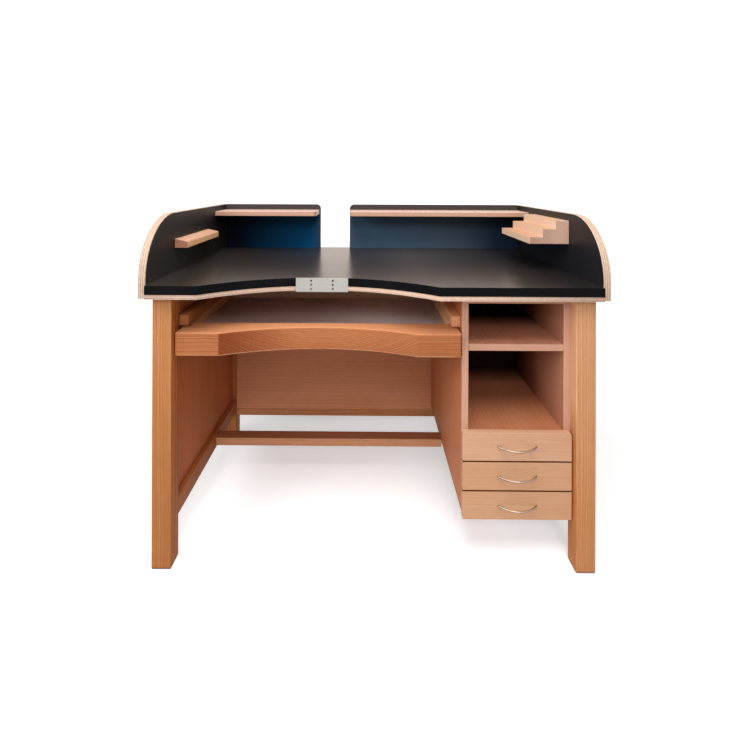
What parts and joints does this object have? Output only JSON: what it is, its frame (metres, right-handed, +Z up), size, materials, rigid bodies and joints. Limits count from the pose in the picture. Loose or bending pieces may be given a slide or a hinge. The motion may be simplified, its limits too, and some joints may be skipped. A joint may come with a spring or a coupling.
{
  "type": "jewelers bench",
  "caption": "Goldsmith's bench with a lined worktop cut round in front, side wings, back boards, shelves, tool rests, a pull-out tray and a drawer cabinet.",
  "frame": {"origin": "on the floor, in the middle of the outline seen from above", "axes": "+X to the right along the length, +Y to the back, +Z up; the user sits on the -Y side"},
  "size_m": [1.454, 0.788, 1.11],
  "materials": {
    "beech_solid": "oiled steamed beech",
    "beech_panel": "oiled beech veneer",
    "beech_front": "lacquered beech",
    "cabinet_board": "lacquered beech veneer",
    "birch_ply": "sanded plywood",
    "black_board": "black edge banding",
    "black_lining": "matt laminate",
    "black_faced_ply": "plywood with a black face",
    "steel_plate": "ground",
    "satin_nickel": "satin nickel plate",
    "tray_laminate": "grey laminate",
    "drawer_ply": "plain plywood"
  },
  "bodies": {
    "bench": {"post_front_left": "beech_solid", "post_front_right": "beech_solid", "post_rear_left": "beech_solid", "post_rear_right": "beech_solid", "side_rail_lower_left": "beech_solid", "side_rail_lower_right": "beech_solid", "side_rail_upper_left": "beech_solid", "side_rail_upper_right": "beech_solid", "side_panel_left": "beech_panel", "side_panel_right": "beech_panel", "back_panel": "beech_panel", "back_rail_lower": "beech_solid", "back_rail_upper": "beech_solid", "footrest_rail": "beech_solid", "worktop_underlay": "birch_ply", "worktop_board": "black_board", "worktop_lining": "black_lining", "pin_plate": "steel_plate", "wing_left": "black_faced_ply", "wing_right": "black_faced_ply", "back_board_left": "black_faced_ply", "back_board_right": "black_faced_ply", "shelf_left": "beech_front", "shelf_right": "beech_front", "tool_rest_sloped": "beech_front", "tool_rest_stepped": "beech_front", "tray_kicker_left": "beech_solid", "tray_kicker_right": "beech_solid", "tray_runner_left": "beech_solid", "tray_runner_right": "beech_solid", "cabinet_side_left": "cabinet_board", "cabinet_side_right": "cabinet_board", "cabinet_top": "cabinet_board", "cabinet_shelf": "cabinet_board", "cabinet_divider": "cabinet_board", "cabinet_bottom": "cabinet_board", "cabinet_back": "black_faced_ply", "drawer_1_runner_left": "beech_solid", "drawer_1_runner_right": "beech_solid", "drawer_2_runner_left": "beech_solid", "drawer_2_runner_right": "beech_solid", "drawer_3_runner_left": "beech_solid", "drawer_3_runner_right": "beech_solid"},
    "tray": {"tray_front": "beech_solid", "tray_side_left": "beech_panel", "tray_side_right": "beech_panel", "tray_back": "beech_panel", "tray_floor": "tray_laminate"},
    "drawer_1": {"drawer_1_front": "beech_front", "drawer_1_box": "drawer_ply", "drawer_1_bottom": "drawer_ply", "drawer_1_handle": "satin_nickel"},
    "drawer_2": {"drawer_2_front": "beech_front", "drawer_2_box": "drawer_ply", "drawer_2_bottom": "drawer_ply", "drawer_2_handle": "satin_nickel"},
    "drawer_3": {"drawer_3_front": "beech_front", "drawer_3_box": "drawer_ply", "drawer_3_bottom": "drawer_ply", "drawer_3_handle": "satin_nickel"}
  },
  "joints": [
    {"name": "tray_slide", "type": "slide", "parent": "bench", "child": "tray", "axis": [0, -1, 0], "range_m": [0, 0.36]},
    {"name": "drawer_1_slide", "type": "slide", "parent": "bench", "child": "drawer_1", "axis": [0, -1, 0], "range_m": [0, 0.36]},
    {"name": "drawer_2_slide", "type": "slide", "parent": "bench", "child": "drawer_2", "axis": [0, -1, 0], "range_m": [0, 0.36]},
    {"name": "drawer_3_slide", "type": "slide", "parent": "bench", "child": "drawer_3", "axis": [0, -1, 0], "range_m": [0, 0.36]}
  ]
}
